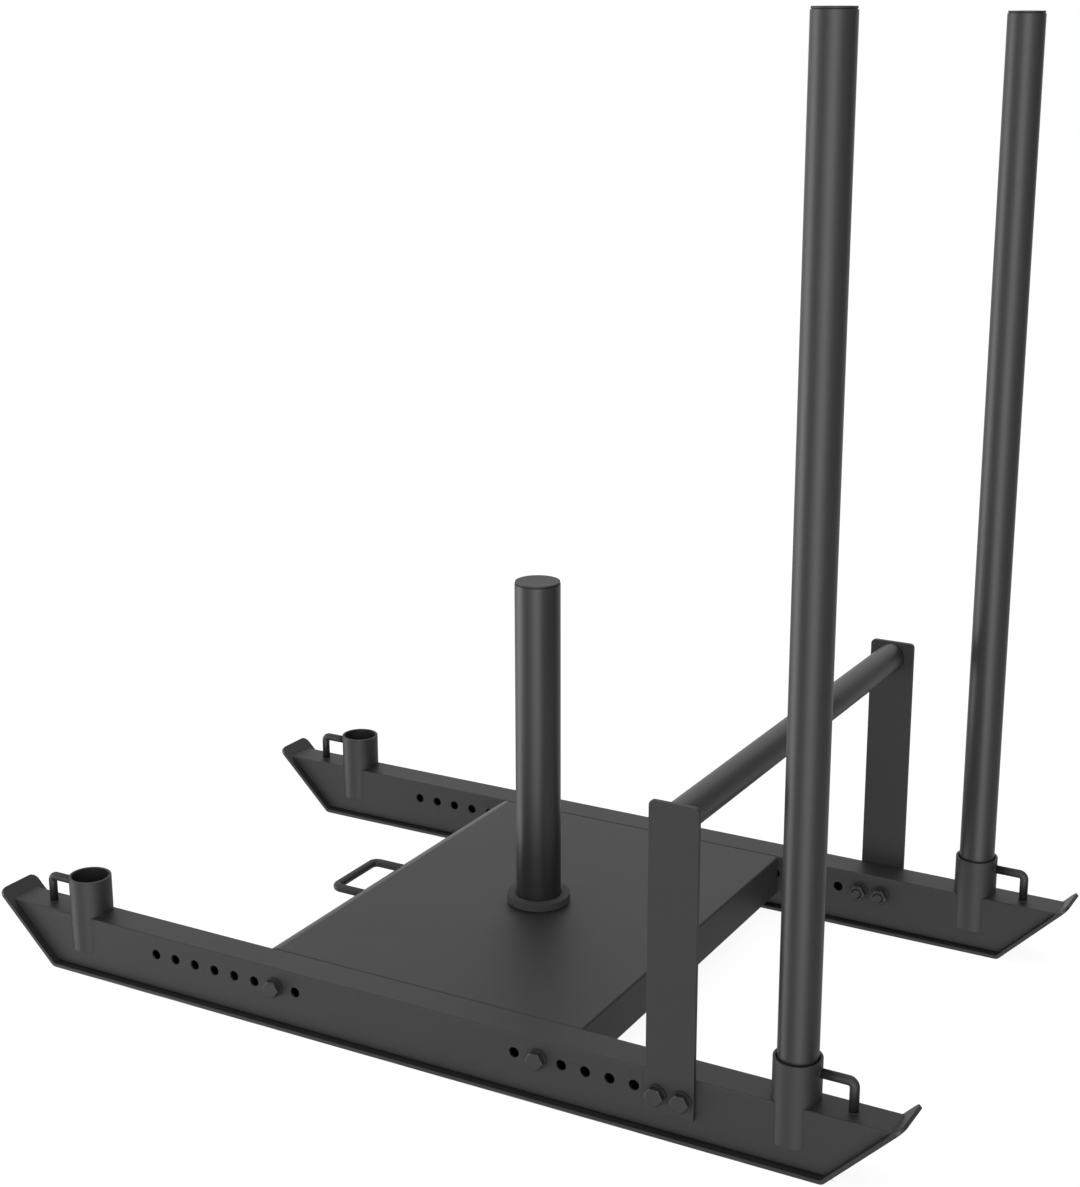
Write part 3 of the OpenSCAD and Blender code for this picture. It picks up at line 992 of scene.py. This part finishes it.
class SLED_OT_weight_post(BuildStep):
    """Turn the weight post and its round foot"""

    bl_idname = "sled.weight_post"
    bl_label = "Weight post"

    def build(self, context, sizes):
        look = context.scene.sled_look
        post = middle_of("weight_post")[1].x
        upright_tube("weight_post", post, sizes.post_wall, sizes.rounding * 0.6, context,
                     sizes.foot_groove)
        mesh = turned("post_foot", self.foot_rings(post, sizes), sizes.tube_steps)
        finish = steel_coat("foot coat", look.foot_colour, look.foot_roughness, look)
        piece("post_foot_turned", mesh, sizes.rounding * 0.5, finish, "post_foot")

    def foot_rings(self, post, sizes):
        """The rings of the post's foot: let into the deck, undercut where it stands on it, and
        grooved round the post."""
        foot, half = middle_of("post_foot")
        deck, deck_half = middle_of("deck_plate")
        groove = sizes.foot_groove
        wide = half.x + sizes.foot_rim
        low, top = foot.z - half.z, foot.z + half.z
        under = deck.z + deck_half.z + groove
        return [
            (half.x, low), (half.x, under), (wide, under), (wide, top), (post + groove, top),
            (post + groove, top - groove), (post - SUNK, top - groove),
        ]


class SLED_OT_handle_frame(BuildStep):
    """Build the two flat uprights and the cross handle between them"""

    bl_idname = "sled.handle_frame"
    bl_label = "Handle frame"

    def build(self, context, sizes):
        for side in SIDES:
            node = f"{side}_upright"
            middle, half = middle_of(node)

            def widened(shape, middle=middle, half=half):
                for vert in shape.verts:
                    away = vert.co.x - middle.x
                    if abs(away) > 0.8 * half.x:
                        vert.co.x += copysign(UPRIGHT_REACH, away)

            from_cad(f"{node}_coated", node, sizes.rounding, finish_of(context, node), widened)
        middle, half = middle_of("cross_handle")
        rings = tube_rings(half.x, sizes.handle_wall, -half.y, half.y)
        mesh = turned("cross_handle", rings, sizes.tube_steps, closed=True)
        mesh.transform(Matrix.Translation(middle) @ Matrix.Rotation(pi / 2, 4, "X"))
        finish = finish_of(context, "cross_handle")
        piece("cross_handle_tube", mesh, sizes.rounding * 0.4, finish, "cross_handle")


class SLED_OT_push_poles(BuildStep):
    """Build the two lift-out push poles"""

    bl_idname = "sled.push_poles"
    bl_label = "Push poles"

    def build(self, context, sizes):
        for side in SIDES:
            node = f"{side}_pole"
            outer = middle_of(node)[1].x
            upright_tube(node, outer, sizes.pole_wall, sizes.rounding * 0.6, context)


def cap_rings(tube, wall, face, thick, sizes):
    """The rings of an end cap with its tube's end at height 0: a finned plug below, and above it
    a groove and a face with a shallow dish."""
    bore = tube - wall
    plug = bore - PLUG_GAP
    fin = bore - FIN_GAP
    hollow = plug - PLUG_WALL
    length = sizes.cap_plug
    rings = [(hollow, 0), (hollow, -length), (plug, -length)]
    for i in (3, 2, 1):
        low = -i * length / 4 - FIN_THICKNESS / 2
        high = low + FIN_THICKNESS
        rings += [(plug, low), (fin, low), (fin, high), (plug, high)]
    rim = face - CAP_RIM
    groove = sizes.cap_groove
    rings += [(plug, 0), (face - groove, 0), (face - groove, groove), (face, groove)]
    rings += [(face, thick), (rim, thick)]
    for share in (0.96, 0.8, 0.55, 0.3, 0.1):
        rings.append((rim * share, thick - sizes.cap_dish * (1 - share ** 4)))
    return rings


class SLED_OT_end_caps(BuildStep):
    """Mould the end caps of the weight post and the push poles"""

    bl_idname = "sled.end_caps"
    bl_label = "End caps"

    def build(self, context, sizes):
        self.cap("post_cap", "weight_post", sizes.post_wall, 1, context, sizes)
        for side in SIDES:
            pole = f"{side}_pole"
            self.cap(f"{side}_pole_cap", pole, sizes.pole_wall, 1, context, sizes)
            self.cap(f"{side}_pole_foot", pole, sizes.pole_wall, -1, context, sizes)

    def cap(self, node, tube, wall, up, context, sizes):
        """A cap on the upper end of a tube, or turned over on its lower end."""
        middle, half = middle_of(node)
        tube_middle, tube_half = middle_of(tube)
        end = tube_middle.z + up * tube_half.z
        thick = up * (middle.z + up * half.z - end)
        mesh = turned(node, cap_rings(tube_half.x, wall, half.x, thick, sizes), sizes.tube_steps)
        over = Matrix.Rotation(0 if up > 0 else pi, 4, "X")
        mesh.transform(Matrix.Translation((tube_middle.x, tube_middle.y, end)) @ over)
        piece(f"{node}_moulded", mesh, 0.25 * MM, finish_of(context, node), node)


def hexagon(flats, height, slope=0.0):
    """A ring of a hexagon that climbs by the slope from its bevel's circle to its corners."""
    def ring(angle):
        radius = flats / 2 / cos(angle % (pi / 3) - pi / 6)
        return radius, height + (radius - HEX_BEVEL * flats) * slope

    return ring


def thread_cut(angle, height, pitch):
    """Depth of a bolt's thread at an angle and a height."""
    turn = (height / pitch - angle / (2 * pi)) % 1.0
    return 0.54 * pitch * abs(2 * turn - 1) ** 1.2


def bolt_rings(length, flats, sizes):
    """A bolt from the outer face of its head at height 0 to the end of its thread."""
    bevel = HEX_BEVEL * flats
    start = length - THREAD_LENGTH
    rings = [
        (bevel * 0.9, 0.0), (bevel, 0.0), hexagon(flats, 0.0, HEX_SLOPE),
        hexagon(flats, sizes.head), (sizes.bolt / 2, sizes.head), (sizes.bolt / 2, start),
    ]
    for i in range(1, THREAD_STEPS + 1):
        height = start + THREAD_LENGTH * i / THREAD_STEPS
        lead = min(1.0, i / 6)
        point = max(0.0, height - (length - BOLT_POINT))

        def ring(angle, height=height, lead=lead, point=point):
            cut = thread_cut(angle, height, sizes.pitch)
            return max(sizes.bolt / 2 - cut * lead - point, sizes.bolt * 0.3), height

        rings.append(ring)
    return rings


def nut_rings(height, flats, sizes):
    """A nut that stands on height 0, chamfered inside and out."""
    bevel = HEX_BEVEL * flats
    bore = sizes.bolt / 2 + NUT_CLEARANCE
    return [
        (bevel, 0.0), hexagon(flats, 0.0, HEX_SLOPE), hexagon(flats, height, -HEX_SLOPE),
        (bevel, height), (bore + NUT_CHAMFER, height), (bore, height - NUT_CHAMFER),
        (bore, NUT_CHAMFER), (bore + NUT_CHAMFER, 0.0),
    ]


class SLED_OT_fasteners(BuildStep):
    """Set the bolts, washers and nuts of the deck and of the handle frame"""

    bl_idname = "sled.fasteners"
    bl_label = "Fasteners"

    def build(self, context, sizes):
        tree = fastener_tree()
        for group in ("deck", "handle"):
            for kind in ("bolts", "washers", "nuts"):
                node = f"{group}_{kind}"
                self.row(tree, node, kind, context, sizes)

    def row(self, tree, node, kind, context, sizes):
        """One mesh of all the fasteners of a CAD node."""
        boxes = solid_boxes(node)
        low, high = boxes[0]
        length, wide = high.y - low.y, high.x - low.x
        flats = wide * cos(pi / 6)
        if kind == "bolts":
            mesh = turned(kind, bolt_rings(length, flats, sizes), 48)
        elif kind == "nuts":
            mesh = turned(kind, nut_rings(length, flats, sizes), 48, closed=True)
        else:
            wall = wide / 2 - sizes.bolt / 2 - NUT_CLEARANCE
            mesh = turned(kind, tube_rings(wide / 2, wall, 0, length), 64, closed=True)
        model = bpy.data.objects.new(f"one_of_{node}", mesh)
        bpy.context.scene.collection.objects.link(model)
        softened(model, 0.18 * MM, 2)
        places, turns = [], []
        for low, high in boxes:
            side = 1 if low.y + high.y > 0 else -1
            outer = high.y if side > 0 else low.y
            places.append(((low.x + high.x) / 2, outer, (low.z + high.z) / 2))
            turns += [side * pi / 2, 0.0, 0.0]
        host = plain_mesh(node, places)
        host.attributes.new("turn", "FLOAT_VECTOR", "POINT").data.foreach_set("vector", turns)
        finish = finish_of(context, node)
        thing = tree.make(f"{node}_plated", host, {"Fastener": model, "Finish": finish})
        bpy.data.objects.remove(model)
        fitted(thing, finish, node)


class SLED_OT_welds(BuildStep):
    """Lay the weld beads round the loops, the sockets, the tow loop and the handle's ends"""

    bl_idname = "sled.welds"
    bl_label = "Welds"

    def build(self, context, sizes):
        x, y, z = Vector((1, 0, 0)), Vector((0, 1, 0)), Vector((0, 0, 1))
        tree = weld_tree()
        self.bead(tree, "tow_loop_welds", "tow_loop", self.tow(y, z, sizes), 2, context, sizes)
        self.bead(tree, "handle_welds", "cross_handle", self.handle(x, z), 3, context, sizes)
        loops, sockets = self.loops(x, y, sizes), self.sockets(x, y, sizes)
        self.bead(tree, "strap_loop_welds", "deck_plate", loops, 4, context, sizes)
        self.bead(tree, "socket_welds", "deck_plate", sockets, 5, context, sizes)

    def bead(self, tree, name, node, paths, seed, context, sizes):
        """One mesh of all the beads of a group."""
        finish = powder_coat(context.scene.sled_look)
        thing = tree.make(name, path_mesh(name, paths), {
            "Bead Radius": sizes.weld, "Ripple": sizes.weld_step, "Seed": seed, "Finish": finish,
        })
        fitted(thing, finish, node, stands_for=False)

    def tow(self, y, z, sizes):
        middle, half = middle_of("tow_loop")
        root = middle.x + half.x - DECK_REACH
        places = [(root, side * (half.y - half.z), middle.z) for side in SIDES.values()]
        return [circle_path(place, y, z, sizes.tow_rod / 2, 32) for place in places]

    def handle(self, x, z):
        middle, half = middle_of("cross_handle")
        places = [(middle.x, side * half.y, middle.z) for side in SIDES.values()]
        return [circle_path(place, x, z, half.x, 64) for place in places]

    def loops(self, x, y, sizes):
        """Round the foot of each strap loop's leg, and along its saddle on the socket."""
        rod = sizes.loop_rod / 2
        wall = CAD_SOCKET_BORE + sizes.socket_wall
        paths = []
        for corner in CORNERS:
            middle, half = middle_of(f"{corner}_loop")
            socket = middle_of(f"{corner}_socket")[0]
            end = 1 if middle.x > 0 else -1
            leg = (middle.x + end * (half.x - half.y + LOOP_REACH), middle.y, middle.z - half.z)
            paths.append(circle_path(leg, x, y, rod, 32))
            level = middle.z + half.z - rod
            saddle = []
            for step in range(36):
                angle = 2 * pi * step / 36
                across = rod * cos(angle)
                out = sqrt(wall ** 2 - across ** 2)
                saddle.append((socket.x + end * out, socket.y + across, level + rod * sin(angle)))
            paths.append((saddle, True))
        return paths

    def sockets(self, x, y, sizes):
        """Two arcs on the beam's flat top, before and behind each socket."""
        paths = []
        radius = CAD_SOCKET_BORE + sizes.socket_wall
        for corner in CORNERS:
            socket = middle_of(f"{corner}_socket")[0]
            beam, beam_half = middle_of(f"{corner.split('_')[0]}_beam")
            top = beam.z + beam_half.z
            reach = atan2(0.62 * beam_half.y, radius)
            for middle in (0, pi):
                centre = (socket.x, socket.y, top)
                arc = circle_path(centre, x, y, radius, 24, middle - reach, middle + reach)
                paths.append(arc)
        return paths


# Panel and registration

STEPS = [
    SLED_OT_runners, SLED_OT_sockets, SLED_OT_strap_loops, SLED_OT_deck, SLED_OT_tow_loop,
    SLED_OT_weight_post, SLED_OT_handle_frame, SLED_OT_push_poles, SLED_OT_end_caps,
    SLED_OT_fasteners, SLED_OT_welds, SLED_OT_stage,
]


class SLED_PT_panel(bpy.types.Panel):
    """The sled's steps and settings"""

    bl_idname = "SLED_PT_panel"
    bl_label = "Push Sled"
    bl_space_type = "VIEW_3D"
    bl_region_type = "UI"
    bl_category = "Sled"

    def draw(self, context):
        scene = context.scene
        for settings in (scene.sled_look, scene.sled_sizes, scene.sled_stage):
            box = self.layout.box()
            for name in settings.__annotations__:
                box.prop(settings, name)
        column = self.layout.column(align=True)
        for step in STEPS:
            column.operator(step.bl_idname)


SETTINGS = {"sled_look": SledLook, "sled_sizes": SledSizes, "sled_stage": SledStage}


def register():
    for kind in (*SETTINGS.values(), *STEPS, SLED_PT_panel):
        bpy.utils.register_class(kind)
    for name, kind in SETTINGS.items():
        setattr(bpy.types.Scene, name, PointerProperty(type=kind))


def unregister():
    for name in SETTINGS:
        delattr(bpy.types.Scene, name)
    for kind in reversed((*SETTINGS.values(), *STEPS, SLED_PT_panel)):
        bpy.utils.unregister_class(kind)


def main():
    """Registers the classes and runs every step."""
    register()
    for step in STEPS:
        group, name = step.bl_idname.split(".")
        getattr(getattr(bpy.ops, group), name)()


if __name__ == "__main__":
    main()
